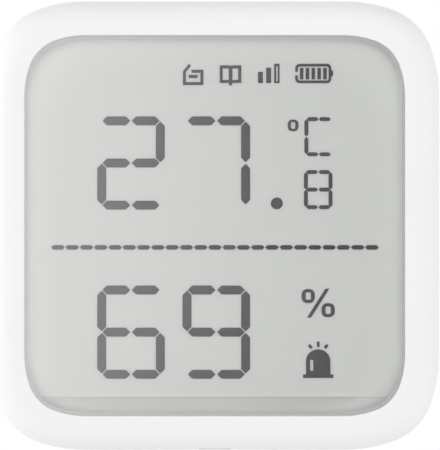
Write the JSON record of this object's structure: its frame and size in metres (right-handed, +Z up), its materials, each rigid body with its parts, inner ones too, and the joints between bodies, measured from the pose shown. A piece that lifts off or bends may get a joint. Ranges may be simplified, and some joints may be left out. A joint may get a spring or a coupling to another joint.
{
  "type": "wireless temperature sensor",
  "caption": "Square wall-hung temperature and humidity sensor with a large liquid crystal display. Its case hooks over a rear panel and swings open from below for the battery.",
  "frame": {"origin": "centre of the rear panel's back face, on the wall", "axes": "+Y into the wall, so the display faces -Y; +X to the right as seen from the front; +Z up"},
  "size_m": [0.06, 0.016, 0.06],
  "materials": {
    "case_white": "fine satin",
    "lens_clear": "clear acrylic, gloss",
    "adhesive_grey": "matt tape",
    "polariser_film": "anti-glare film",
    "display_glass": "polished glass",
    "reflector_grey": "silver-grey film",
    "seal_grey": "cured epoxy",
    "display_figures": "dark liquid crystal",
    "frame_white": "satin",
    "elastomer_grey": "silicone with carbon stripes",
    "board_green": "solder mask over glass epoxy",
    "chip_black": "moulded epoxy",
    "nickel_plate": "nickel plated",
    "cell_steel": "polished stainless steel",
    "gasket_black": "moulded polypropylene",
    "cell_core": "pressed powder",
    "chassis_white": "satin",
    "screw_zinc": "zinc plated",
    "switch_black": "moulded",
    "plunger_white": "moulded acetal",
    "spring_steel": "drawn wire",
    "button_grey": "satin",
    "panel_white": "fine satin",
    "foam_tape": "closed-cell foam"
  },
  "bodies": {
    "rear_panel": {"rear_panel": "panel_white", "adhesive_pads": "foam_tape"},
    "case": {"front_case": "case_white", "window_lens": "lens_clear", "lens_adhesive": "adhesive_grey", "front_polariser": "polariser_film", "display_front_glass": "display_glass", "display_rear_glass": "display_glass", "reflector": "reflector_grey", "display_edge_seal": "seal_grey", "temperature_digits": "display_figures", "humidity_digits": "display_figures", "divider_dashes": "display_figures", "unit_symbols": "display_figures", "alarm_symbol": "display_figures", "status_symbols": "display_figures", "display_frame": "frame_white", "elastomer_strip": "elastomer_grey", "main_board": "board_green", "microcontroller": "chip_black", "crystal": "nickel_plate", "board_components": "chip_black", "radio_shield": "nickel_plate", "radio_chip": "chip_black", "antenna": "nickel_plate", "humidity_sensor": "chip_black", "cell_can": "cell_steel", "cell_cap": "cell_steel", "cell_gasket": "gasket_black", "cell_core": "cell_core", "battery_contact_negative": "nickel_plate", "battery_contact_positive": "nickel_plate", "inner_chassis": "chassis_white", "chassis_screws": "screw_zinc", "tamper_switch": "switch_black", "tamper_spring": "spring_steel", "function_switch": "switch_black"},
    "tamper_plunger": {"tamper_plunger": "plunger_white"},
    "function_button": {"function_button": "button_grey", "function_stem": "switch_black"}
  },
  "joints": [
    {"name": "case_swing", "type": "hinge", "parent": "rear_panel", "child": "case", "pos_m": [0, -0.0004, 0.0294], "axis": [-1, 0, 0], "range_deg": [0, 60]},
    {"name": "tamper_release", "type": "slide", "parent": "case", "child": "tamper_plunger", "axis": [0, 1, 0], "range_m": [0, 0.0012], "deforming": ["tamper_spring"]},
    {"name": "function_press", "type": "slide", "parent": "case", "child": "function_button", "axis": [0, -1, 0], "range_m": [0, 0.0004], "stiffness_N_per_m": 400, "springref_m": -0.0005}
  ],
  "couplings": [
    {"joint": "tamper_release", "follows": "case_swing", "m_per_rad": 0.00114}
  ]
}
